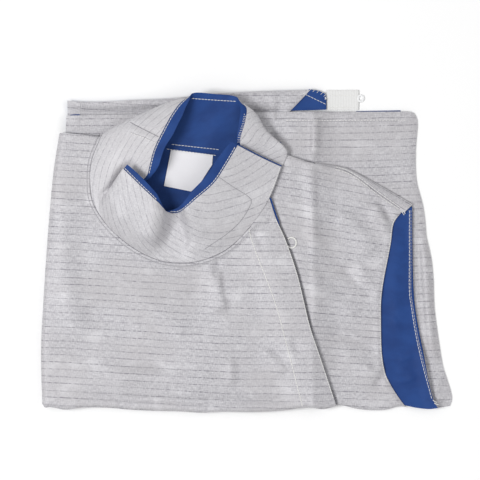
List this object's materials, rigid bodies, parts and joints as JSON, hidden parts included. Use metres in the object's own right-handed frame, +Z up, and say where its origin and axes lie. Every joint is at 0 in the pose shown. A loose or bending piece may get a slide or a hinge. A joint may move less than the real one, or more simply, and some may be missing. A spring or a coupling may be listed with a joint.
{
  "type": "folded fencing lame",
  "caption": "Sleeveless conductive fencing over-jacket lying folded flat, with a stand collar left open over the upper middle, an overlapped front and an armhole edge showing its lining.",
  "frame": {"origin": "on the surface it lies on, under the middle of the folded pack's bounding box", "axes": "+X across the pack towards the armhole that shows, +Y from the bottom fold towards the hems, +Z up from the surface"},
  "size_m": [0.4118, 0.3242, 0.0442],
  "materials": {
    "silver_cloth": "silver-grey metallic woven cloth with thin darker cross stripes",
    "blue_lining": "plain blue nylon lining",
    "white_label": "white satin label, bare",
    "white_elastic": "white ribbed elastic",
    "white_thread": "white cord and sewing thread",
    "clear_ring": "translucent plastic"
  },
  "bodies": {
    "root": {"front_right": "silver_cloth", "front_left": "silver_cloth", "front_overlap_facing": "blue_lining", "front_lower": "silver_cloth", "back_lower": "silver_cloth", "back_upper": "silver_cloth", "back_shoulder_strip": "silver_cloth", "armhole_lining": "blue_lining", "neck_lining": "blue_lining", "folded_side_core": "silver_cloth", "folded_side_leaf": "silver_cloth", "turned_hem_lining": "blue_lining", "size_label": "white_label", "crotch_strap": "white_elastic", "strap_ring": "clear_ring", "thread_loop": "white_thread", "collar_right_outer": "silver_cloth", "collar_right_lining": "blue_lining", "collar_back_outer": "silver_cloth", "collar_back_lining": "blue_lining", "collar_left_outer": "silver_cloth", "collar_left_lining": "blue_lining"}
  },
  "joints": []
}
